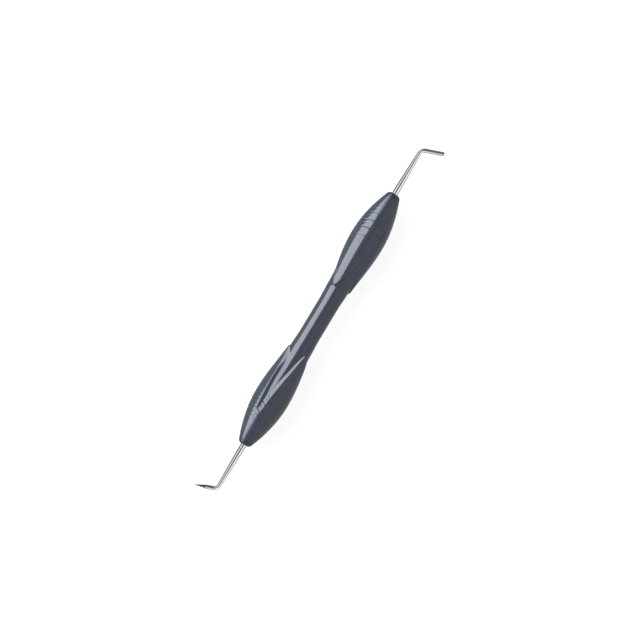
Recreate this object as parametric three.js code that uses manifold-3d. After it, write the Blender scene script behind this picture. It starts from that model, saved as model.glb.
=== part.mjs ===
// Double-ended scriber with two soft bulb grips. Millimetres, +Z up.
// The handle lies along X. The blunt tip is at +X and bends to -Y, the sharp tip is at -X and bends
// to +Y. The origin is below the middle of the tool's box, on the surface that the tool lies on.
import * as THREE from 'three';
import { mergeVertices } from 'three/addons/utils/BufferGeometryUtils.js';
import Module from 'manifold-3d';

const wasm = await Module();
wasm.setup();

// Handle outline, measured from its middle
const HANDLE_HALF = 53.5;
const WAIST_HALF = 5.9;
const WAIST_RADIUS = 3.97;
const BULB_AT = 33.7;
const BULB_RADIUS = 6.6;
const NOSE_RADIUS = 2.25;
const NOSE_POWER = 1.9;

// Leaf-shaped pads on the bulbs, and the tongues of the waist between them
const PAD_COUNT = 3;
const PAD_APEX = 13.7;
const TONGUE_TIP = 40.6;
const PAD_RISE = 0.33;
const PAD_RISE_POWER = 1.5;
const TONGUE_DEPTH = 0.65;
const TONGUE_SHALLOW_TO = 10;
const TONGUE_DEEP_FROM = 20;
const TONGUE_TIP_RISE = 2.9;
const PAD_TWIST = 14;
const BLUNT_PAD_TURN = -17;
const SHARP_PAD_TURN = -34;

// Skins, rigid inner pieces and the gap between neighbours
const SKIN = 1.25;
const GAP = 0.3;
const GRIP_END = 51.4;
const GRIP_MOUTH_RADIUS = 2.5;
const NOSE_ROUNDING = 1.3;
const NOSE_LIP = 0.45;
const NOSE_FACE_RADIUS = 1.75;
const CARRIER_FROM = 18;
const CARRIER_TO = 45.7;
const CARRIER_BORE = 2.55;
const TUBE_HALF = 34;
const TUBE_RADIUS = 2.25;
const TUBE_BORE = 1.65;
const SOCKET_FROM = 37;
const SOCKET_RADIUS = 2.2;
const SOCKET_FLOOR = 1.5;
const TANG_BORE = 1.475;

// Steel tips
const SHANK_RADIUS = 1.13;
const ROD_RADIUS = 0.76;
const TAPER_FROM = 55.5;
const CORNER_AT = 72.4;
const BEND_ANGLE = 70;
const BEND_RADIUS = 2.2;
const LEG_LENGTH = 8.5;
const POINT_LENGTH = 3.9;
const POINT_BASE_RADIUS = 0.6;
const POINT_END_RADIUS = 0.05;
const STEM_RADIUS = 0.25;
const STEM_LENGTH = 1.5;
const STEM_BORE = 0.55;

// Sides of the turned pieces, sections along the curved ones, and the blocks that cut the tongues out
const ROUND = 24;
const FINE_ROUND = 12;
const PAD_SECTIONS = 5;
const TIP_SECTIONS = 2;
const NOSE_SECTIONS = 4;
const CARRIER_SECTIONS = 7;
const BEND_SECTIONS = 6;
const REST_HALF = 1;
const PRISM_FROM = 1;
const PRISM_REACH = 9;
const PRISM_ROOT = 2;
const PRISM_STEPS = 9;
const WELD = 0.1;

const radians = THREE.MathUtils.degToRad;

// ---- Outline of the handle, as a radius at a distance from its middle

function bodyRadius(x) {
  if (x <= WAIST_HALF) {
    return WAIST_RADIUS;
  }
  if (x <= BULB_AT) {
    const rise = (x - WAIST_HALF) / (BULB_AT - WAIST_HALF);
    return WAIST_RADIUS + (BULB_RADIUS - WAIST_RADIUS) * (1 - Math.cos(Math.PI * rise)) / 2;
  }
  const fall = (x - BULB_AT) / (HANDLE_HALF - BULB_AT);
  return BULB_RADIUS - (BULB_RADIUS - NOSE_RADIUS) * fall ** NOSE_POWER;
}

// The pads stand proud at their rounded ends and come down to the outline at the widest place
function padRadius(x) {
  const left = Math.max(0, (BULB_AT - x) / (BULB_AT - PAD_APEX));
  return bodyRadius(x) + PAD_RISE * left ** PAD_RISE_POWER;
}

// The tongues lie a little deep, and come up to the outline at the waist and at their tips
function tongueRadius(x) {
  const fromWaist = (x - TONGUE_SHALLOW_TO) / (TONGUE_DEEP_FROM - TONGUE_SHALLOW_TO);
  const toTip = (TONGUE_TIP - x) / TONGUE_TIP_RISE;
  return bodyRadius(x) - TONGUE_DEPTH * THREE.MathUtils.clamp(Math.min(fromWaist, toTip), 0, 1);
}

const skinBore = (x) => tongueRadius(x) - SKIN;

// Half the angle that a pad covers. It opens from a rounded apex until the pads meet at the tongues' tips.
const alongPad = (x) => (x - PAD_APEX) / (TONGUE_TIP - PAD_APEX);
const padHalfAngle = (x) => 180 / PAD_COUNT * Math.sqrt(alongPad(x));

// The pads wind slightly about the handle, so a tongue's middle line moves sideways on its way to the tip
const twistAngle = (x) => PAD_TWIST * (alongPad(x) - 0.5);
const tongueMiddle = (x) => -bodyRadius(x) * Math.sin(radians(twistAngle(x)));
const tongueHalfWidth = (x) => bodyRadius(x) * Math.sin(radians(180 / PAD_COUNT - padHalfAngle(x)));

// ---- Solids

function bare(geometry) {
  const plain = geometry.clone();
  plain.deleteAttribute('normal');
  plain.deleteAttribute('uv');
  return mergeVertices(plain, 1e-4);
}

function toSolid(geometry) {
  const merged = bare(geometry);
  const corners = merged.index.array;
  const kept = [];
  for (let i = 0; i < corners.length; i += 3) {
    const [a, b, c] = corners.slice(i, i + 3);
    if (a !== b && b !== c && c !== a) {
      kept.push(a, b, c);
    }
  }
  return new wasm.Manifold(new wasm.Mesh({
    numProp: 3,
    vertProperties: new Float32Array(merged.attributes.position.array),
    triVerts: new Uint32Array(kept),
  }));
}

function toGeometry(solid) {
  const mesh = solid.getMesh();
  const geometry = new THREE.BufferGeometry();
  geometry.setAttribute('position', new THREE.BufferAttribute(new Float32Array(mesh.vertProperties), 3));
  geometry.setIndex(new THREE.BufferAttribute(new Uint32Array(mesh.triVerts), 1));
  geometry.computeVertexNormals();
  return geometry;
}

const joined = (first, ...others) => others.reduce((whole, next) => whole.add(next), first);

// A turned piece about the X axis from [x, radius] pairs. The radius is that of the flats, and one flat
// faces straight down.
function turned(outline, sides = ROUND) {
  const grow = 1 / Math.cos(Math.PI / sides);
  const profile = outline.map(([x, radius]) => new THREE.Vector2(radius * grow, x));
  const geometry = new THREE.LatheGeometry(profile, sides);
  geometry.rotateZ(-Math.PI / 2);
  geometry.rotateX(Math.PI / sides);
  return geometry;
}

// A turned shell between an outer and an inner radius, taken at the given places along X
function turnedShell(places, outer, inner) {
  const outside = places.map((x) => [x, outer(x)]);
  const inside = [...places].reverse().map((x) => [x, inner(x)]);
  return turned([...outside, ...inside, outside[0]]);
}

// Places from one end to the other, with the given number of equal steps between them
function evenly(from, to, count) {
  return Array.from({ length: count + 1 }, (_, i) => from + (to - from) * i / count);
}

// A prism with the outline of one tongue, standing out from the handle at an angle about X. Margin
// widens and lengthens it.
function tonguePrism(turn, margin = 0) {
  const places = evenly(0, 1, PRISM_STEPS).map((i) => PAD_APEX + (TONGUE_TIP - PAD_APEX) * i * i);
  const side = (x, sign) => tongueMiddle(x) + sign * (tongueHalfWidth(x) + margin);
  const outline = new THREE.Shape();
  outline.moveTo(PAD_APEX - PRISM_ROOT, side(PAD_APEX, -1));
  places.forEach((x) => outline.lineTo(x, side(x, -1)));
  if (margin > 0) {
    outline.lineTo(TONGUE_TIP + 2 * margin, tongueMiddle(TONGUE_TIP));
    outline.lineTo(TONGUE_TIP, side(TONGUE_TIP, 1));
  }
  places.slice(0, -1).reverse().forEach((x) => outline.lineTo(x, side(x, 1)));
  outline.lineTo(PAD_APEX - PRISM_ROOT, side(PAD_APEX, 1));
  const prism = new THREE.ExtrudeGeometry(outline, {
    depth: PRISM_REACH - PRISM_FROM,
    bevelEnabled: false,
  });
  prism.translate(0, 0, PRISM_FROM);
  prism.rotateX(radians(turn));
  return toSolid(prism);
}

function tonguePrisms(padTurn, margin) {
  const turns = evenly(0, PAD_COUNT - 1, PAD_COUNT - 1).map((i) => padTurn + (i + 0.5) * 360 / PAD_COUNT);
  return joined(...turns.map((turn) => tonguePrism(turn, margin)));
}

// ---- Handle pieces

// Sections of one bulb, with a short even length at its widest place for the tool to lie on
const BULB_PLACES = [
  ...evenly(PAD_APEX, BULB_AT - REST_HALF, PAD_SECTIONS),
  ...evenly(BULB_AT + REST_HALF, TONGUE_TIP, TIP_SECTIONS),
];

function waistSleeve() {
  const middle = [0, WAIST_HALF, (WAIST_HALF + PAD_APEX) / 2];
  const half = [...middle, ...BULB_PLACES];
  const places = [...half.slice(1).reverse().map((x) => -x), ...half];
  const shell = turnedShell(places, (x) => tongueRadius(Math.abs(x)), (x) => skinBore(Math.abs(x)));
  const block = turned([[-PAD_APEX, 0], [-PAD_APEX, PRISM_REACH], [PAD_APEX, PRISM_REACH], [PAD_APEX, 0]]);
  const sharpSide = tonguePrisms(SHARP_PAD_TURN, 0).rotate([0, 0, 180]);
  const kept = joined(toSolid(block), tonguePrisms(BLUNT_PAD_TURN, 0), sharpSide);
  return toGeometry(toSolid(shell).intersect(kept));
}

function endGrip(padTurn) {
  const places = [...BULB_PLACES, ...evenly(TONGUE_TIP, GRIP_END, NOSE_SECTIONS).slice(1)];
  const shell = turnedShell(places, padRadius, (x) => Math.max(skinBore(x), GRIP_MOUTH_RADIUS));
  return toGeometry(toSolid(shell).subtract(tonguePrisms(padTurn, GAP)));
}

function noseRing() {
  const from = GRIP_END + GAP;
  const shoulder = HANDLE_HALF - NOSE_ROUNDING;
  const outer = [
    [from, bodyRadius(from)],
    [shoulder, bodyRadius(shoulder)],
    [HANDLE_HALF - NOSE_LIP, NOSE_RADIUS],
    [HANDLE_HALF, NOSE_FACE_RADIUS],
  ];
  const inner = [[HANDLE_HALF, TANG_BORE], [from, TANG_BORE]];
  return turned([...outer, ...inner, outer[0]]);
}

function endCarrier() {
  const places = evenly(CARRIER_FROM, CARRIER_TO, CARRIER_SECTIONS);
  return turnedShell(places, (x) => skinBore(x) - GAP, () => CARRIER_BORE);
}

function coreTube() {
  return turned([
    [-TUBE_HALF, TUBE_RADIUS],
    [TUBE_HALF, TUBE_RADIUS],
    [TUBE_HALF, TUBE_BORE],
    [-TUBE_HALF, TUBE_BORE],
    [-TUBE_HALF, TUBE_RADIUS],
  ], FINE_ROUND);
}

function tipSocket() {
  return turned([
    [SOCKET_FROM, 0],
    [SOCKET_FROM, SOCKET_RADIUS],
    [GRIP_END, SOCKET_RADIUS],
    [GRIP_END, TANG_BORE],
    [SOCKET_FROM + SOCKET_FLOOR, TANG_BORE],
    [SOCKET_FROM + SOCKET_FLOOR, 0],
  ], FINE_ROUND);
}

// ---- Steel tips

class BendPath extends THREE.Curve {
  getPoint(t, target = new THREE.Vector3()) {
    const angle = radians(BEND_ANGLE) * t;
    return target.set(BEND_RADIUS * Math.sin(angle), BEND_RADIUS * (Math.cos(angle) - 1), 0);
  }
}

const BEND_REACH = BEND_RADIUS * Math.tan(radians(BEND_ANGLE / 2));

function bendElbow() {
  const section = new THREE.Shape();
  section.absarc(0, 0, ROD_RADIUS / Math.cos(Math.PI / FINE_ROUND), 0, 2 * Math.PI);
  const elbow = new THREE.ExtrudeGeometry(section, {
    extrudePath: new BendPath(),
    steps: BEND_SECTIONS,
    curveSegments: FINE_ROUND / 2,
    bevelEnabled: false,
  });
  elbow.translate(CORNER_AT - BEND_REACH, 0, 0);
  return elbow;
}

// Puts a piece that is turned about X onto the bent leg, with x measured from the corner of the bend
function ontoLeg(geometry) {
  geometry.rotateZ(-radians(BEND_ANGLE));
  geometry.translate(CORNER_AT, 0, 0);
  return geometry;
}

function tipRod(legTo, bore) {
  const shank = turned([
    [SOCKET_FROM + SOCKET_FLOOR + GAP, 0],
    [SOCKET_FROM + SOCKET_FLOOR + GAP, SHANK_RADIUS],
    [TAPER_FROM, SHANK_RADIUS],
    [CORNER_AT - BEND_REACH + WELD, ROD_RADIUS],
    [CORNER_AT - BEND_REACH + WELD, 0],
  ], FINE_ROUND);
  const leg = turned([
    [BEND_REACH - WELD, 0],
    [BEND_REACH - WELD, ROD_RADIUS],
    [legTo, ROD_RADIUS],
    ...bore,
    [legTo - (bore.length > 0 ? STEM_LENGTH + GAP : 0), 0],
  ], FINE_ROUND);
  return toGeometry(joined(toSolid(shank), toSolid(bendElbow()), toSolid(ontoLeg(leg))));
}

const POINT_FROM = LEG_LENGTH - POINT_LENGTH;

function sharpTipShank() {
  const legTo = POINT_FROM - GAP;
  return tipRod(legTo, [[legTo, STEM_BORE], [legTo - STEM_LENGTH - GAP, STEM_BORE]]);
}

function scribingPoint() {
  return ontoLeg(turned([
    [POINT_FROM - STEM_LENGTH - GAP, 0],
    [POINT_FROM - STEM_LENGTH - GAP, STEM_RADIUS],
    [POINT_FROM, STEM_RADIUS],
    [POINT_FROM, POINT_BASE_RADIUS],
    [LEG_LENGTH, POINT_END_RADIUS],
    [LEG_LENGTH, 0],
  ], FINE_ROUND));
}

// ---- Assembly

const softGrip = { color: 0x4b5060, roughness: 0.35, metalness: 0 };
const darkRing = { color: 0x23252b, roughness: 0.45, metalness: 0 };
const polishedSteel = { color: 0xc9cbcd, roughness: 0.18, metalness: 1 };
const carbide = { color: 0x6d6f73, roughness: 0.3, metalness: 1 };
const rigidPlastic = { color: 0x8b8f96, roughness: 0.5, metalness: 0 };
const aluminium = { color: 0xb4b7ba, roughness: 0.35, metalness: 1 };

function piece(name, geometry, look) {
  const mesh = new THREE.Mesh(geometry, new THREE.MeshStandardMaterial(look));
  mesh.name = name;
  return mesh;
}

const bluntEnd = new THREE.Group();
bluntEnd.add(
  piece('blunt_end_grip', endGrip(BLUNT_PAD_TURN), softGrip),
  piece('blunt_end_nose_ring', noseRing(), darkRing),
  piece('blunt_end_carrier', endCarrier(), rigidPlastic),
  piece('blunt_tip_socket', tipSocket(), aluminium),
  piece('blunt_tip', tipRod(LEG_LENGTH, []), polishedSteel),
);

const sharpEnd = new THREE.Group();
sharpEnd.rotation.z = Math.PI;
sharpEnd.add(
  piece('sharp_end_grip', endGrip(SHARP_PAD_TURN), softGrip),
  piece('sharp_end_nose_ring', noseRing(), darkRing),
  piece('sharp_end_carrier', endCarrier(), rigidPlastic),
  piece('sharp_tip_socket', tipSocket(), aluminium),
  piece('sharp_tip_shank', sharpTipShank(), polishedSteel),
  piece('scribing_point', scribingPoint(), carbide),
);

const scriber = new THREE.Group();
scriber.add(
  piece('waist_sleeve', waistSleeve(), softGrip),
  piece('core_tube', coreTube(), aluminium),
  bluntEnd,
  sharpEnd,
);

const reach = new THREE.Box3().setFromObject(scriber);
const middle = reach.getCenter(new THREE.Vector3());
scriber.position.set(-middle.x, -middle.y, -reach.min.z);

export default scriber;
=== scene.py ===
import math

import bmesh
import bpy
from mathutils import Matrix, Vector


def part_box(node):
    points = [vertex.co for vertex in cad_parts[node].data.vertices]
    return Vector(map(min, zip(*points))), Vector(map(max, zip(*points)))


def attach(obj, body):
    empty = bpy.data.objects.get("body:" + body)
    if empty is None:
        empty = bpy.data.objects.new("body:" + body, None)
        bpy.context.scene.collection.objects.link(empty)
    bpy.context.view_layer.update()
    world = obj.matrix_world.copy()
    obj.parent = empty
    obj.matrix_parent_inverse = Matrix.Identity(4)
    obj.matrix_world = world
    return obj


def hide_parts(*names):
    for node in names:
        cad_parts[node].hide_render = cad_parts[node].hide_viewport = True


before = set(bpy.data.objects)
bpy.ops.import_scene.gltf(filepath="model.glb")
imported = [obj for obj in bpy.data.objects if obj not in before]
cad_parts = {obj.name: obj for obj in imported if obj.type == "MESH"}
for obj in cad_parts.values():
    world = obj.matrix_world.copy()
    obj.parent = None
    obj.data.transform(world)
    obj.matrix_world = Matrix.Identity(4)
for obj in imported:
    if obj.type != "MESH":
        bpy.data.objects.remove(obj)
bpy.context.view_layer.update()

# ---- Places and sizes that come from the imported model, in metres

blunt_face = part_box("blunt_end_nose_ring")[1].x
sharp_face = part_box("sharp_end_nose_ring")[0].x
grip_low, grip_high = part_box("blunt_end_grip")
tube_low, tube_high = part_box("core_tube")

MIDDLE = Vector((
    (blunt_face + sharp_face) / 2,
    (tube_low.y + tube_high.y) / 2,
    (tube_low.z + tube_high.z) / 2,
))
HANDLE_HALF = blunt_face - MIDDLE.x
BULB_RADIUS = (grip_high.z - grip_low.z) / 2
GRIP_END = grip_high.x - MIDDLE.x
TONGUE_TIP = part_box("waist_sleeve")[1].x - MIDDLE.x
TANG_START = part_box("blunt_tip")[0].x - MIDDLE.x

# ---- Shape of the handle, the same as the CAD model's, in metres

WAIST_HALF = 0.0059
WAIST_RADIUS = 0.00397
BULB_AT = 0.0337
NOSE_RADIUS = 0.00225
NOSE_POWER = 1.9
PAD_COUNT = 3
PAD_APEX = 0.0137
PAD_RISE = 0.00033
PAD_RISE_POWER = 1.5
TONGUE_DEPTH = 0.00065
TONGUE_SHALLOW_TO = 0.010
TONGUE_DEEP_FROM = 0.020
TONGUE_TIP_RISE = 0.0029
PAD_TWIST = 14
BLUNT_PAD_TURN = -17
SHARP_PAD_TURN = -34
PAD_SPAN = 180 / PAD_COUNT
SKIN = 0.00125
GRIP_OVERLAP = 0.00012
SEAM_SINK = 0.00006
SEAM_SINKS_OVER = 0.001
SEAM_LAP = 0.5

# ---- Sides of the pads: a steep wall down into the tongue on one side, a gentle rise on the other.
# Widths run over the surface. A rounding gives the shares of a flank in its foot and in its crest.

STEEP_CREST = -0.0004
STEEP_CREST_GROWS_OVER = 0.006
STEEP_NARROW = 0.0015
STEEP_WIDE = 0.0021
STEEP_NARROW_FROM = 0.0275
STEEP_AT_APEX = 0.0007
STEEP_GROWTH = 0.2
STEEP_ROUNDING = (0.55, 0.12)
GENTLE_START = -0.00015
GENTLE_NARROW = 0.0005
GENTLE_WIDE = 0.0036
GENTLE_GROWTH = 0.115
GENTLE_ROUNDING = (0.3, 0.35)
SIDES_BLEND_OVER = 24

# ---- Cross grooves on the pads

GROOVE_FIRST = 0.02450
GROOVE_PITCH = 0.00327
GROOVE_COUNT = 8
GROOVE_DEPTH = 0.00018
GROOVE_WIDTH = 0.00018
GROOVE_FAINTEST = 0.16
FINE_GROOVE_SHARE = 0.7
FINE_GROOVES_FROM = 0.3
FINE_GROOVES_RISE = 0.25
GROOVE_SAG = 0.0022
SAG_FROM = 0.0185
SAG_RISE = 0.009
SAG_FALL = 0.0075
GROOVES_DEEPEST_AT = 0.0383
FADE_AT_NOSE = 0.0015
FADE_AT_EDGE = 0.0006
GROOVES_SPREAD = 0.0056

# ---- Steel wires

SHANK_RADIUS = 0.00113
ROD_RADIUS = 0.00076
CORNER_AT = 0.0724
BEND_ANGLE = math.radians(70)
BEND_RADIUS = 0.0022
LEG_LENGTH = 0.0085
POINT_LENGTH = 0.0039
POINT_BASE_RADIUS = 0.0006
POINT_END_RADIUS = 0.00003
POINT_GAP = 0.0001
BLUNT_END_BEVEL = 0.00005
SHARP_END_BEVEL = 0.00008

# ---- Meshes: points closer than WELD are joined, and edges sharper than a crease angle stay sharp

WELD = 2e-8
SOFT_CREASE = math.radians(50)
TURNED_CREASE = math.radians(40)
WIRE_CREASE = math.radians(35)
POINT_CREASE = math.radians(24)


def clamp(value, low=0.0, high=1.0):
    return max(low, min(high, value))


def smooth(value):
    value = clamp(value)
    return value * value * (3 - 2 * value)


def body_radius(x):
    """Outline of the handle: an even waist, an S up to each bulb and a rounded fall to the nose."""
    if x <= WAIST_HALF:
        return WAIST_RADIUS
    if x <= BULB_AT:
        rise = (x - WAIST_HALF) / (BULB_AT - WAIST_HALF)
        return WAIST_RADIUS + (BULB_RADIUS - WAIST_RADIUS) * (1 - math.cos(math.pi * rise)) / 2
    fall = (x - BULB_AT) / (HANDLE_HALF - BULB_AT)
    return BULB_RADIUS - (BULB_RADIUS - NOSE_RADIUS) * fall ** NOSE_POWER


def pad_radius(x):
    """Outline over a pad: a little proud of the handle at the apex, level with it at the bulb."""
    left = max(0.0, (BULB_AT - x) / (BULB_AT - PAD_APEX))
    return body_radius(x) + PAD_RISE * min(1.0, left) ** PAD_RISE_POWER


def tongue_radius(x):
    """Outline over a tongue, which sinks in from the waist and rises again at its tip."""
    from_waist = (x - TONGUE_SHALLOW_TO) / (TONGUE_DEEP_FROM - TONGUE_SHALLOW_TO)
    to_tip = (TONGUE_TIP - x) / TONGUE_TIP_RISE
    return body_radius(x) - TONGUE_DEPTH * smooth(min(from_waist, to_tip))


def along_pad(x):
    """How far a place is from a pad's apex, 0, to the tips of the tongues, 1."""
    return clamp((x - PAD_APEX) / (TONGUE_TIP - PAD_APEX))


def pad_half_angle(x):
    """Half the width of a pad in degrees: a parabola from its apex."""
    return PAD_SPAN * math.sqrt(along_pad(x))


def pad_middle(pad_turn, pad, x):
    """Angle of a pad's middle line, which twists a little along the handle."""
    return pad_turn + pad * 2 * PAD_SPAN + PAD_TWIST * (along_pad(x) - 0.5)


def on_handle(facing, x, angle, radius):
    """A point at a distance x from the handle's middle towards one end, at an angle about its axis."""
    turn = math.radians(angle)
    across = -facing * radius * math.sin(turn)
    return MIDDLE + Vector((facing * x, across, radius * math.cos(turn)))


# ---- Mesh helpers

def new_piece(name, mesh, material, node):
    """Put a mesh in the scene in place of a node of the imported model. Nothing on the tool moves."""
    piece = bpy.data.objects.new(name, mesh)
    bpy.context.scene.collection.objects.link(piece)
    mesh.materials.append(material)
    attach(piece, "root")
    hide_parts(node)


def mesh_from(name, verts, faces, crease):
    """A welded mesh with its faces pointing out, shaded smooth but for edges sharper than the crease."""
    mesh = bpy.data.meshes.new(name)
    mesh.from_pydata([tuple(v) for v in verts], [], faces)
    work = bmesh.new()
    work.from_mesh(mesh)
    bmesh.ops.remove_doubles(work, verts=work.verts, dist=WELD)
    bmesh.ops.dissolve_degenerate(work, edges=work.edges, dist=WELD)
    bmesh.ops.recalc_face_normals(work, faces=work.faces)
    for face in work.faces:
        face.smooth = True
    for edge in work.edges:
        if len(edge.link_faces) == 2 and edge.calc_face_angle(0) > crease:
            edge.smooth = False
    work.to_mesh(mesh)
    work.free()
    return mesh


class Skin:
    """A closed skin made of strips: each strip is a grid of (outer, inner) point pairs."""

    def __init__(self):
        self.verts = []
        self.faces = []

    def add_strip(self, rows, open_left, open_right):
        """Rows of point pairs. open_left and open_right say, row by row, where the side is an edge."""
        start = len(self.verts)
        width = len(rows[0])
        for row in rows:
            for outer, inner in row:
                self.verts += [outer, inner]

        def at(i, j, side):
            return start + 2 * (i * width + j) + side

        for i in range(len(rows) - 1):
            for j in range(width - 1):
                self.faces.append((at(i, j, 0), at(i + 1, j, 0), at(i + 1, j + 1, 0), at(i, j + 1, 0)))
                self.faces.append((at(i, j, 1), at(i, j + 1, 1), at(i + 1, j + 1, 1), at(i + 1, j, 1)))
            for j, is_open in ((0, open_left), (width - 1, open_right)):
                if is_open[i]:
                    self.faces.append((at(i, j, 0), at(i, j, 1), at(i + 1, j, 1), at(i + 1, j, 0)))
        return at

    def close_end(self, at, row, width):
        """Faces across a strip's end row, between its outer and inner points."""
        for j in range(width - 1):
            self.faces.append((at(row, j, 0), at(row, j + 1, 0), at(row, j + 1, 1), at(row, j, 1)))


# ---- Soft grips

def soft_ramp(share, low_round, high_round):
    """A rise from 0 to 1 with an even middle and rounded ends, given as shares of its length."""
    share = clamp(share)
    whole = 1 - (low_round + high_round) / 2
    if share < low_round:
        return share * share / (2 * low_round) / whole
    if share < 1 - high_round:
        return (share - low_round / 2) / whole
    return 1 - (1 - share) ** 2 / (2 * high_round) / whole


def edge_distance(x, lean):
    """Distance in from a pad's outline over the surface, and negative outside it."""
    length = TONGUE_TIP - PAD_APEX
    inside = x - PAD_APEX - length * (lean / PAD_SPAN) ** 2
    slope = 2 * length * lean / (PAD_SPAN * PAD_SPAN * math.radians(body_radius(x)))
    return inside / math.hypot(1, slope)


def pad_share(x, lean):
    """Height of a pad's flank over the tongue's floor, from 0 to 1, at an angle from the pad's middle."""
    distance = edge_distance(x, lean)
    past_apex = max(0.0, x - PAD_APEX)
    near_apex = smooth((STEEP_NARROW_FROM - x) / (STEEP_NARROW_FROM - PAD_APEX))
    steep_width = STEEP_NARROW + (STEEP_WIDE - STEEP_NARROW) * near_apex
    steep_width = min(steep_width, STEEP_AT_APEX + STEEP_GROWTH * past_apex)
    crest = STEEP_CREST * smooth(past_apex / STEEP_CREST_GROWS_OVER)
    steep = soft_ramp((distance - crest) / steep_width + 1, *STEEP_ROUNDING)
    gentle_width = min(GENTLE_NARROW + GENTLE_GROWTH * past_apex, GENTLE_WIDE)
    gentle = soft_ramp((distance - GENTLE_START) / gentle_width, *GENTLE_ROUNDING)
    side = smooth(0.5 + lean / SIDES_BLEND_OVER)
    return steep + (gentle - steep) * side


def surface_radius(x, lean):
    """Radius of the handle's relief near a pad, with the steep flank of the next pad taken in."""
    low = tongue_radius(x)
    if x < PAD_APEX - STEEP_AT_APEX:
        return low
    around = 2 * PAD_SPAN
    share = max(pad_share(x, lean), pad_share(x, lean - around), pad_share(x, lean + around))
    return low + (pad_radius(x) - low) * share


def groove_depth(row_x, lean):
    """Depth of the cross grooves at a row. Lean is 0 on a pad's middle and 1 at its side."""
    from_first = (row_x - GROOVE_FIRST) / GROOVE_PITCH
    nearest = clamp(round(from_first), 0, GROOVE_COUNT - 1)
    off = (from_first - nearest) * GROOVE_PITCH
    off_deepest = (row_x - GROOVES_DEEPEST_AT) / GROOVES_SPREAD
    strength = GROOVE_FAINTEST + (1 - GROOVE_FAINTEST) * math.exp(-off_deepest ** 2)
    main = math.exp(-(off / GROOVE_WIDTH) ** 2)
    between = (from_first - math.floor(from_first) - 0.5) * GROOVE_PITCH
    is_between = 0 < from_first < GROOVE_COUNT - 1
    fine = math.exp(-(between / GROOVE_WIDTH) ** 2) if is_between else 0
    fine *= FINE_GROOVE_SHARE * smooth((lean - FINE_GROOVES_FROM) / FINE_GROOVES_RISE)
    return GROOVE_DEPTH * strength * (main + fine)


def row_sag(row_x):
    """How far a row of the grid curves back at the pad's sides, so that it runs along a groove."""
    growing = smooth((row_x - SAG_FROM) / SAG_RISE)
    ending = smooth((GRIP_END - row_x) / SAG_FALL)
    return GROOVE_SAG * min(growing, ending)


# The grid over a pad: rows crowd at the apex and, in multiples of a groove's width, round each groove
FIRST_ROWS = 46
ROWS_IN_GROOVE = (0.4, 0.8, 1.2, 1.7, 2.3)
PAD_COLUMNS = 56
COLUMN_CROWDING = 0.35
SETTLING_ROUNDS = 8
INNER_AT_LEAST = 0.55


def grip_rows():
    """Places of the grid's rows: close at the rounded apex and round each groove."""
    half = [GROOVE_WIDTH * share for share in ROWS_IN_GROOVE]
    reach = half[-1]
    groove = [-step for step in reversed(half)] + [0] + half
    space = (GROOVE_PITCH / 2 - 2 * reach) / 3
    steps = groove + [reach + space, reach + 2 * space]
    steps += [GROOVE_PITCH / 2 + step for step in steps]
    grooved = [GROOVE_FIRST + k * GROOVE_PITCH + step for k in range(GROOVE_COUNT) for step in steps]
    first_reach = grooved[0] - space - PAD_APEX
    first = [PAD_APEX + first_reach * (i / FIRST_ROWS) ** 2 for i in range(FIRST_ROWS + 1)]
    last = GRIP_END + GRIP_OVERLAP
    return [x for x in first + grooved if x < last - GRIP_OVERLAP / 2] + [last]


def pad_columns():
    """Signed fractions across a pad, closer together at its sides."""
    even = [2 * i / PAD_COLUMNS - 1 for i in range(PAD_COLUMNS + 1)]
    return [COLUMN_CROWDING * math.sin(math.pi / 2 * f) + (1 - COLUMN_CROWDING) * f for f in even]


def pad_point(row_x, fraction):
    """Where a grid point lies along the handle and how far round from the pad's middle."""
    x = row_x
    # each depends on the other, so they are worked out in turn until they settle
    for _ in range(SETTLING_ROUNDS):
        lean = fraction * pad_half_angle(x)
        x = row_x - row_sag(row_x) * (lean / PAD_SPAN) ** 2
    return x, fraction * pad_half_angle(x)


def grip_radius(row_x, x, lean):
    """Outer radius of a pad with its grooves, which run out at the nose and at the pad's outline."""
    fade = smooth((GRIP_END - x) / FADE_AT_NOSE) * clamp(edge_distance(x, lean) / FADE_AT_EDGE)
    return surface_radius(x, lean) - groove_depth(row_x, abs(lean) / PAD_SPAN) * fade


def end_grip(name, node, material, facing, pad_turn):
    """A soft grip: three leaf-shaped pads that join into one skin past the tips of the tongues."""
    skin = Skin()
    places = grip_rows()
    for pad in range(PAD_COUNT):
        rows = []
        is_side = []
        for row_x in places:
            row = []
            for fraction in pad_columns():
                x, lean = pad_point(row_x, fraction)
                angle = pad_middle(pad_turn, pad, x) + lean
                outer = grip_radius(row_x, x, lean)
                inner = max(tongue_radius(x) - SKIN, outer * INNER_AT_LEAST)
                row.append((on_handle(facing, x, angle, outer), on_handle(facing, x, angle, inner)))
            rows.append(row)
            is_side.append(row_x - row_sag(row_x) < TONGUE_TIP)
        at = skin.add_strip(rows, is_side, is_side)
        skin.close_end(at, len(rows) - 1, len(rows[0]))
    mesh = mesh_from(name, skin.verts, skin.faces, SOFT_CREASE)
    new_piece(name, mesh, material, node)


# The grid over a tongue and the waist
TONGUE_COLUMNS = 36
WAIST_ROWS = 60
TONGUE_ROWS = 130


def tongue_columns(half, is_beside_pad):
    """Angles across a tongue from its middle. Beside the pads its edges dip and run in under them."""
    inset = min(SEAM_LAP, half / 4)
    lap = inset if is_beside_pad else 0
    inner = half - inset
    even = [inner * (2 * i / TONGUE_COLUMNS - 1) for i in range(TONGUE_COLUMNS + 1)]
    return [-half - lap, *even, half + lap]


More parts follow.
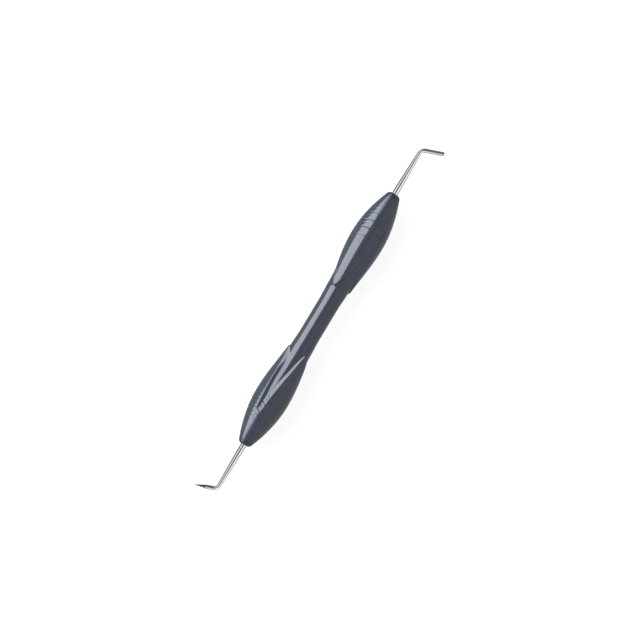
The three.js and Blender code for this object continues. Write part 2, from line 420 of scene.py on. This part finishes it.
def waist_sleeve(name, node, material):
    """The waist with its tongues. Its columns turn from one end's tongues to the other end's."""
    skin = Skin()
    blunt_middle = BLUNT_PAD_TURN + PAD_SPAN - PAD_TWIST / 2
    sharp_middle = PAD_SPAN - SHARP_PAD_TURN + PAD_TWIST / 2
    places = [PAD_APEX + (TONGUE_TIP - PAD_APEX) * (i / TONGUE_ROWS) ** 2 for i in range(TONGUE_ROWS + 1)]
    middle = [PAD_APEX * (2 * i / WAIST_ROWS - 1) for i in range(1, WAIST_ROWS)]
    stations = [-x for x in reversed(places)] + middle + places
    for tongue in range(PAD_COUNT):
        rows = []
        is_side = []
        for station in stations:
            x = abs(station)
            facing = 1 if station > 0 else -1
            beside = x > PAD_APEX
            half = PAD_SPAN - (pad_half_angle(x) if beside else 0)
            share = clamp((station + PAD_APEX) / (2 * PAD_APEX))
            middle_angle = sharp_middle + (blunt_middle - sharp_middle) * share
            middle_angle += facing * PAD_TWIST * along_pad(x) + tongue * 2 * PAD_SPAN
            columns = tongue_columns(half, beside)
            row = []
            for j, turn in enumerate(columns):
                is_edge = j in (0, len(columns) - 1)
                sink = SEAM_SINK * clamp((x - PAD_APEX) / SEAM_SINKS_OVER) if is_edge else 0
                outer = surface_radius(x, facing * turn + PAD_SPAN) - sink
                angle = middle_angle + turn
                inner = tongue_radius(x) - SKIN
                row.append((on_handle(1, station, angle, outer), on_handle(1, station, angle, inner)))
            rows.append(row)
            is_side.append(x >= PAD_APEX)
        # a side is open only between two rows that both lie beside the pads
        opened = [is_side[i] and is_side[i + 1] for i in range(len(rows) - 1)]
        skin.add_strip(rows, opened, opened)
    mesh = mesh_from(name, skin.verts, skin.faces, SOFT_CREASE)
    new_piece(name, mesh, material, node)


# ---- Turned and swept pieces

TURNED_SIDES = 96


def revolve(name, profile, facing):
    """A closed turned mesh from (x, radius) pairs that run once round its section."""
    verts = []
    faces = []
    count = len(profile)
    for i in range(TURNED_SIDES):
        angle = 360 * i / TURNED_SIDES
        verts += [on_handle(facing, x, angle, radius) for x, radius in profile]
    for i in range(TURNED_SIDES):
        for j in range(count):
            a, b = i * count, (i + 1) % TURNED_SIDES * count
            faces.append((a + j, b + j, b + (j + 1) % count, a + (j + 1) % count))
    return mesh_from(name, verts, faces, TURNED_CREASE)


def arc_points(centre_x, centre_r, radius, start, end, steps):
    """Points of a rounded edge in a turned section, between two angles in degrees."""
    turns = [math.radians(start + (end - start) * i / steps) for i in range(steps + 1)]
    return [(centre_x + radius * math.cos(t), centre_r + radius * math.sin(t)) for t in turns]


# Nose rings: the rounding meets the grip's slope at an angle and runs in to the wire
NOSE_ROUNDING = 0.0016
NOSE_SLOPE_ANGLE = 67
NOSE_BORE = 0.00119
NOSE_SEAM = 0.00017
EDGE_ROUNDING = 0.00006
FLANK_STEPS = 6
ARC_STEPS = 14


def nose_ring(name, node, material, facing):
    """The ring that closes a grip: it carries on the grip's slope and rounds down to the wire."""
    start = GRIP_END + NOSE_SEAM
    slope = math.radians(NOSE_SLOPE_ANGLE)
    shoulder = HANDLE_HALF - NOSE_ROUNDING * (1 - math.cos(slope))
    centre_r = body_radius(shoulder) - NOSE_ROUNDING * math.sin(slope)
    stop = math.degrees(math.asin((NOSE_BORE + EDGE_ROUNDING - centre_r) / NOSE_ROUNDING))
    from_x = start + EDGE_ROUNDING
    flank = [from_x + (shoulder - from_x) * i / FLANK_STEPS for i in range(FLANK_STEPS)]
    profile = [(start, NOSE_BORE + 2 * EDGE_ROUNDING), (start, body_radius(start) - EDGE_ROUNDING)]
    profile += [(x, body_radius(x)) for x in flank]
    centre_x = HANDLE_HALF - NOSE_ROUNDING
    profile += arc_points(centre_x, centre_r, NOSE_ROUNDING, NOSE_SLOPE_ANGLE, stop, ARC_STEPS)
    profile += [(HANDLE_HALF - 2 * EDGE_ROUNDING, NOSE_BORE), (start + 2 * EDGE_ROUNDING, NOSE_BORE)]
    new_piece(name, revolve(name, profile, facing), material, node)


# Wires are worked out along +X in the handle's plane, then turned about the handle's middle by facing
WIRE_SIDES = 48
LEG_DOWN = Vector((math.cos(BEND_ANGLE), -math.sin(BEND_ANGLE), 0))


def on_leg(reach):
    """A place down the bent leg, at a distance from the corner where its line meets the handle's axis."""
    return Vector((CORNER_AT, 0, 0)) + LEG_DOWN * reach


def ring_points(place, turn, facing, radius_at):
    """A ring of points round a wire that runs at an angle. radius_at gives the radius at each of them."""
    side = Vector((math.sin(turn), math.cos(turn), 0))
    points = []
    for i in range(WIRE_SIDES):
        a = 2 * math.pi * i / WIRE_SIDES
        r = radius_at(a)
        local = place + side * (r * math.sin(a)) + Vector((0, 0, r * math.cos(a)))
        points.append(MIDDLE + Vector((facing * local.x, facing * local.y, local.z)))
    return points


def tube_faces(ring_count):
    """Faces of a closed tube of rings, with flat ends."""
    faces = []
    for r in range(ring_count - 1):
        for i in range(WIRE_SIDES):
            j = (i + 1) % WIRE_SIDES
            a, b = r * WIRE_SIDES, (r + 1) * WIRE_SIDES
            faces.append((a + i, a + j, b + j, b + i))
    faces.append(tuple(range(WIRE_SIDES)))
    faces.append(tuple(range((ring_count - 1) * WIRE_SIDES, ring_count * WIRE_SIDES)))
    return faces


BEND_REACH = BEND_RADIUS * math.tan(BEND_ANGLE / 2)
BEND_STEPS = 28
TAPER_STEPS = 12
LEG_STEPS = 3
STRAIGHT_AT_NOSE = 0.002


def wire_path(leg_to):
    """Stations (place, direction, radius) from the tang, through the bend, to a distance down the leg."""
    bend_from = CORNER_AT - BEND_REACH
    taper_from = HANDLE_HALF + STRAIGHT_AT_NOSE
    stations = [(Vector((TANG_START, 0, 0)), 0.0, SHANK_RADIUS)]
    for i in range(TAPER_STEPS + 1):
        share = i / TAPER_STEPS
        x = taper_from + (bend_from - taper_from) * share
        radius = SHANK_RADIUS + (ROD_RADIUS - SHANK_RADIUS) * share
        stations.append((Vector((x, 0, 0)), 0.0, radius))
    for i in range(1, BEND_STEPS + 1):
        turn = BEND_ANGLE * i / BEND_STEPS
        place = Vector((bend_from + BEND_RADIUS * math.sin(turn), BEND_RADIUS * (math.cos(turn) - 1), 0))
        stations.append((place, turn, ROD_RADIUS))
    for i in range(1, LEG_STEPS + 1):
        reach = BEND_REACH + (leg_to - BEND_REACH) * i / LEG_STEPS
        stations.append((on_leg(reach), BEND_ANGLE, ROD_RADIUS))
    return stations


def swept(name, stations, facing, end_bevel):
    """A round wire along the stations, with a small bevel at each end."""
    first, last = stations[0], stations[-1]

    def shifted(station, shift, radius):
        place, turn, _ = station
        return (place + shift * Vector((math.cos(turn), -math.sin(turn), 0)), turn, radius)

    rings = [
        shifted(first, 0, first[2] - end_bevel),
        shifted(first, end_bevel, first[2]),
        *stations[1:-1],
        shifted(last, -end_bevel, last[2]),
        shifted(last, 0, last[2] - end_bevel),
    ]
    verts = []
    for place, turn, radius in rings:
        verts += ring_points(place, turn, facing, lambda angle: radius)
    return mesh_from(name, verts, tube_faces(len(rings)), WIRE_CREASE)


def tip_wire(name, node, material, facing, leg_to, end_bevel):
    """A steel tip: tapered shank, bend and leg."""
    new_piece(name, swept(name, wire_path(leg_to), facing, end_bevel), material, node)


# The ground point: a collar, a short shoulder, then a taper with faint flats round it
COLLAR_LENGTH = 0.0005
COLLAR_RADIUS = 0.00071
COLLAR_BEVEL = 0.00005
SHOULDER_LENGTH = 0.00018
TAPER_SECTIONS = 12
FLAT_DEPTH = 0.16
FLAT_POWER = 0.6


def point_sections():
    """Sections (distance down the leg, radius, depth of the flats) from the collar to the tip."""
    start = LEG_LENGTH - POINT_LENGTH
    taper_start = start + SHOULDER_LENGTH
    sections = [
        (start - COLLAR_LENGTH - COLLAR_BEVEL, POINT_BASE_RADIUS / 2, 0.0),
        (start - COLLAR_LENGTH, COLLAR_RADIUS, 0.0),
        (start - COLLAR_BEVEL, COLLAR_RADIUS, 0.0),
        (taper_start, POINT_BASE_RADIUS, 0.0),
    ]
    for i in range(1, TAPER_SECTIONS + 1):
        share = i / TAPER_SECTIONS
        radius = POINT_BASE_RADIUS + (POINT_END_RADIUS - POINT_BASE_RADIUS) * share
        place = taper_start + (LEG_LENGTH - taper_start) * share
        sections.append((place, radius, FLAT_DEPTH * min(1, 3 * share)))
    return sections


def scribing_point(name, node, material, facing):
    """The ground point at the end of the sharp leg."""
    sections = point_sections()
    verts = []
    for reach, radius, flatness in sections:
        verts += ring_points(
            on_leg(reach), BEND_ANGLE, facing,
            lambda angle: radius * (1 - flatness * (1 - abs(math.cos(2 * angle)) ** FLAT_POWER)),
        )
    mesh = mesh_from(name, verts, tube_faces(len(sections)), POINT_CREASE)
    new_piece(name, mesh, material, node)


# ---- Materials

class Nodes:
    """Short calls for building one material."""

    def __init__(self, name):
        self.material = bpy.data.materials.new(name)
        self.material.use_nodes = True
        self.tree = self.material.node_tree
        self.shader = self.tree.nodes["Principled BSDF"]

    def add(self, kind, **settings):
        node = self.tree.nodes.new(kind)
        for key, value in settings.items():
            if key in node.inputs:
                node.inputs[key].default_value = value
            else:
                setattr(node, key, value)
        return node

    def link(self, source, target):
        self.tree.links.new(source, target)

    def coordinates(self, stretch=(1, 1, 1)):
        where = self.add("ShaderNodeTexCoord")
        mapping = self.add("ShaderNodeMapping")
        mapping.inputs["Scale"].default_value = stretch
        self.link(where.outputs["Object"], mapping.inputs["Vector"])
        return mapping.outputs["Vector"]

    def noise(self, scale, detail=4.0, stretch=(1, 1, 1), roughness=0.55):
        noise = self.add("ShaderNodeTexNoise", Scale=scale, Detail=detail, Roughness=roughness)
        self.link(self.coordinates(stretch), noise.inputs["Vector"])
        return noise.outputs["Fac"]

    def ramp(self, factor, stops):
        ramp = self.add("ShaderNodeValToRGB")
        elements = ramp.color_ramp.elements
        while len(elements) < len(stops):
            elements.new(0.5)
        for element, (place, colour) in zip(elements, stops):
            element.position = place
            element.color = (*colour, 1)
        self.link(factor, ramp.inputs["Fac"])
        return ramp.outputs["Color"]

    def spread(self, factor, low, high):
        spread = self.add("ShaderNodeMapRange")
        spread.inputs["From Min"].default_value = 0.25
        spread.inputs["From Max"].default_value = 0.75
        spread.inputs["To Min"].default_value = low
        spread.inputs["To Max"].default_value = high
        self.link(factor, spread.inputs["Value"])
        return spread.outputs["Result"]

    def bump(self, height, strength, distance, under=None):
        bump = self.add("ShaderNodeBump", Strength=strength, Distance=distance)
        self.link(height, bump.inputs["Height"])
        if under is not None:
            self.link(under, bump.inputs["Normal"])
        return bump.outputs["Normal"]

    def set(self, **values):
        for key, value in values.items():
            self.shader.inputs[key.replace("_", " ")].default_value = value


def soft_silicone():
    """Dark slate-blue silicone with a soft gloss: faint mottling, a fine moulded skin and handling haze."""
    m = Nodes("soft_grip_silicone")
    colour = m.ramp(m.noise(190, 5), [(0.3, (0.0300, 0.0385, 0.0590)), (0.7, (0.0365, 0.0470, 0.0710))])
    m.link(colour, m.shader.inputs["Base Color"])
    m.link(m.spread(m.noise(420, 6, roughness=0.65), 0.11, 0.16), m.shader.inputs["Roughness"])
    fine = m.bump(m.noise(5200, 3), 0.10, 0.00002)
    m.link(m.bump(m.noise(650, 3), 0.12, 0.00006, under=fine), m.shader.inputs["Normal"])
    m.set(IOR=1.5, Specular_IOR_Level=0.9)
    return m.material


def ring_plastic_painted_shade():
    """Satin plastic, nearly black, with a faint moulded skin; darker than the grip, so that it also paints
    in the shade round the wire's entry into the nose.
    """
    m = Nodes("nose_ring_plastic_painted_shade")
    # near-black colour: the ring's own dark plastic, and painted shade round the wire's entry
    colour = m.ramp(m.noise(300, 5), [(0.3, (0.0180, 0.0225, 0.0350)), (0.7, (0.0235, 0.0290, 0.0440))])
    m.link(colour, m.shader.inputs["Base Color"])
    m.link(m.spread(m.noise(900, 5), 0.2, 0.28), m.shader.inputs["Roughness"])
    m.link(m.bump(m.noise(4000, 3), 0.15, 0.00002), m.shader.inputs["Normal"])
    m.set(IOR=1.5, Specular_IOR_Level=0.8)
    return m.material


def steel(name, dark, light, low, high, line_stretch, line_strength):
    """Ground metal: long fine grinding lines, light haze and a slight change of tone."""
    m = Nodes(name)
    m.link(m.ramp(m.noise(160, 4), [(0.3, dark), (0.7, light)]), m.shader.inputs["Base Color"])
    m.link(m.spread(m.noise(700, 5), low, high), m.shader.inputs["Roughness"])
    lines = m.noise(900, 3, stretch=line_stretch)
    m.link(m.bump(lines, line_strength, 0.00001), m.shader.inputs["Normal"])
    m.set(Metallic=1.0)
    return m.material


def grey_plastic():
    """Plain moulded plastic of the inner carriers."""
    m = Nodes("carrier_plastic")
    colour = m.ramp(m.noise(250, 4), [(0.3, (0.28, 0.30, 0.33)), (0.7, (0.32, 0.34, 0.37))])
    m.link(colour, m.shader.inputs["Base Color"])
    m.link(m.spread(m.noise(700, 4), 0.42, 0.55), m.shader.inputs["Roughness"])
    return m.material


silicone = soft_silicone()
# the nose rings' near-black is partly painted shade round the wire's entry
ring_painted_shade = ring_plastic_painted_shade()
polished = steel("polished_steel", (0.50, 0.51, 0.52), (0.56, 0.57, 0.58), 0.12, 0.2, (1, 14, 14), 0.25)
ground = steel("ground_hard_alloy", (0.2, 0.205, 0.22), (0.27, 0.275, 0.29), 0.2, 0.32, (12, 12, 1), 0.5)
turned = steel("turned_aluminium", (0.66, 0.67, 0.68), (0.74, 0.75, 0.76), 0.25, 0.38, (18, 1, 1), 0.4)
carrier_plastic = grey_plastic()

# ---- Pieces

end_grip("blunt_end_soft_grip", "blunt_end_grip", silicone, 1, BLUNT_PAD_TURN)
end_grip("sharp_end_soft_grip", "sharp_end_grip", silicone, -1, SHARP_PAD_TURN)
waist_sleeve("soft_waist_sleeve", "waist_sleeve", silicone)
# nose rings in near-black, which paints the shade round the wire's entry
nose_ring("blunt_end_ring", "blunt_end_nose_ring", ring_painted_shade, 1)
nose_ring("sharp_end_ring", "sharp_end_nose_ring", ring_painted_shade, -1)
tip_wire("blunt_bent_wire", "blunt_tip", polished, 1, LEG_LENGTH, BLUNT_END_BEVEL)
sharp_leg_to = LEG_LENGTH - POINT_LENGTH - POINT_GAP
tip_wire("sharp_bent_wire", "sharp_tip_shank", polished, -1, sharp_leg_to, SHARP_END_BEVEL)
scribing_point("ground_scribing_point", "scribing_point", ground, -1)

INNER_LOOKS = {
    "core_tube": turned,
    "blunt_tip_socket": turned,
    "sharp_tip_socket": turned,
    "blunt_end_carrier": carrier_plastic,
    "sharp_end_carrier": carrier_plastic,
}
for node_name, look in INNER_LOOKS.items():
    for material_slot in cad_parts[node_name].material_slots:
        material_slot.material = look

# ---- Floor, light and camera

FLOOR_HALF = 4.0
FLOOR_DROP = 0.00002
FLOOR_GLOW = 0.9

# The panels' distance from the tool, the height of the side panels' middle, and their sizes
PANEL_DISTANCE = 1.2
PANEL_SETBACK = 0.1
SIDE_PANEL_MIDDLE = 1.42
SIDE_PANEL_HEIGHT = 2.4
STEEL_PANEL_WIDTH = 3.0

# Brightness of the walls from the side away from the panel, over the top, to the panel's side
WALL_LEVELS = [(0.0, 0.56), (0.25, 0.5), (0.5, 0.19), (0.75, 0.28), (1.0, 0.36)]

# Brightness past the sharp end: its change with X, and its value over the tool
PAST_SHARP_END = (-0.6, -0.12)

# The camera
LENS = 100
SENSOR = 36
VIEW_WIDTH = 0.23424
HANDLE_ANGLE = 58.93
LOOK_OFFSET_X = -0.00007
LOOK_OFFSET_Y = -0.00036


def make_floor():
    """A pale light table: a matt top that glows evenly, keeps shadows faint and isn't mirrored in gloss."""
    mesh = bpy.data.meshes.new("floor")
    half = FLOOR_HALF
    corners = [(-half, -half, 0), (half, -half, 0), (half, half, 0), (-half, half, 0)]
    mesh.from_pydata(corners, [], [(0, 1, 2, 3)])
    floor = bpy.data.objects.new("floor", mesh)
    floor.location.z = -FLOOR_DROP
    bpy.context.scene.collection.objects.link(floor)
    m = Nodes("floor_paper")
    colour = m.ramp(m.noise(30, 4), [(0.3, (0.155, 0.155, 0.155)), (0.7, (0.165, 0.165, 0.165))])
    m.link(colour, m.shader.inputs["Base Color"])
    m.set(Roughness=0.8, Specular_IOR_Level=0.1, Emission_Color=(1, 1, 1, 1), Emission_Strength=FLOOR_GLOW)
    mesh.materials.append(m.material)
    floor.visible_glossy = False


def math_node(nodes, links, operation, *values):
    """One arithmetic node. Each value is a number or the output of another node."""
    node = nodes.new("ShaderNodeMath")
    node.operation = operation
    for socket, value in zip(node.inputs, values):
        if isinstance(value, (int, float)):
            socket.default_value = value
        else:
            links.new(value, socket)
    return node.outputs["Value"]


def make_world():
    """A dim grey studio: darkest overhead and below, lighter to the panel's side and past the sharp end."""
    world = bpy.data.worlds.new("studio")
    world.use_nodes = True
    nodes, links = world.node_tree.nodes, world.node_tree.links
    where = nodes.new("ShaderNodeTexCoord")
    split = nodes.new("ShaderNodeSeparateXYZ")
    links.new(where.outputs["Generated"], split.inputs["Vector"])
    across = math_node(nodes, links, "MULTIPLY_ADD", split.outputs["Y"], 0.5, 0.5)
    ramp = nodes.new("ShaderNodeValToRGB")
    links.new(across, ramp.inputs["Fac"])
    elements = ramp.color_ramp.elements
    while len(elements) < len(WALL_LEVELS):
        elements.new(0.5)
    for element, (place, level) in zip(elements, WALL_LEVELS):
        element.position = place
        element.color = (level, level, level, 1)
    past_sharp_end = math_node(nodes, links, "MULTIPLY_ADD", split.outputs["X"], *PAST_SHARP_END)
    brighter = math_node(nodes, links, "MAXIMUM", ramp.outputs["Color"], past_sharp_end)
    links.new(brighter, nodes["Background"].inputs["Color"])
    nodes["Background"].inputs["Strength"].default_value = 1.0
    bpy.context.scene.world = world


def soft_panel(name, place, width, height, radiance, colour):
    """An upright light that faces the line above the tool, its strength given as its face's brightness."""
    light = bpy.data.lights.new(name, "AREA")
    light.shape = "RECTANGLE"
    light.size = width
    light.size_y = height
    light.color = colour
    light.energy = radiance * math.pi * width * height
    lamp = bpy.data.objects.new(name, light)
    lamp.location = place
    lamp.rotation_mode = "QUATERNION"
    lamp.rotation_quaternion = Vector((-place[0], -place[1], 0)).to_track_quat("-Z", "Y")
    lamp.visible_camera = False
    bpy.context.scene.collection.objects.link(lamp)
    return lamp


def choose_receivers(lamp, pieces, state):
    """Light only these pieces with a lamp (INCLUDE), or everything but them (EXCLUDE)."""
    group = bpy.data.collections.new(lamp.name + "_pieces")
    for piece in pieces:
        group.objects.link(piece)
    for entry in group.collection_objects:
        entry.light_linking.link_state = state
    lamp.light_linking.receiver_collection = group


def make_lamps():
    """A long soft panel that fades at its ends, and weaker ones that only the bare steel mirrors."""
    steel_pieces = [bpy.data.objects[name] for name in ("blunt_bent_wire", "sharp_bent_wire")]
    dark_metal = [bpy.data.objects["ground_scribing_point"]]
    d = PANEL_DISTANCE
    cool = (0.93, 0.95, 1.0)
    white = (1.0, 1.0, 1.0)
    side_panels = (
        ("side_panel", d, 2.2, 2.0),
        ("side_panel_ends", d + PANEL_SETBACK, 3.8, 2.2),
    )
    for name, y, length, radiance in side_panels:
        lamp = soft_panel(name, (0, y, SIDE_PANEL_MIDDLE), length, SIDE_PANEL_HEIGHT, radiance, cool)
        choose_receivers(lamp, steel_pieces + dark_metal, "EXCLUDE")
    steel_panels = (
        ("steel_panel_left", (0, d, 1.24), 1.12, 1.8),
        ("steel_panel_right", (0, -d, 1.07), 2.05, 1.15),
        ("steel_panel_behind", (-d, 0, 1.3), 2.5, 1.0),
    )
    for name, place, height, radiance in steel_panels:
        lamp = soft_panel(name, place, STEEL_PANEL_WIDTH, height, radiance, white)
        choose_receivers(lamp, steel_pieces, "INCLUDE")


def make_camera():
    """Straight above the handle's middle, turned so that the handle leans to the right as it rises."""
    camera = bpy.data.cameras.new("camera")
    camera.lens = LENS
    camera.sensor_width = SENSOR
    seat = bpy.data.objects.new("camera", camera)
    distance = LENS / SENSOR * VIEW_WIDTH
    seat.location = MIDDLE + Vector((LOOK_OFFSET_X, LOOK_OFFSET_Y, distance))
    seat.rotation_euler = (0, 0, -math.radians(HANDLE_ANGLE))
    camera.clip_start, camera.clip_end = 0.01, 10
    bpy.context.scene.collection.objects.link(seat)
    bpy.context.scene.camera = seat


make_floor()
make_world()
make_lamps()
make_camera()
bpy.context.scene.view_settings.view_transform = "Standard"
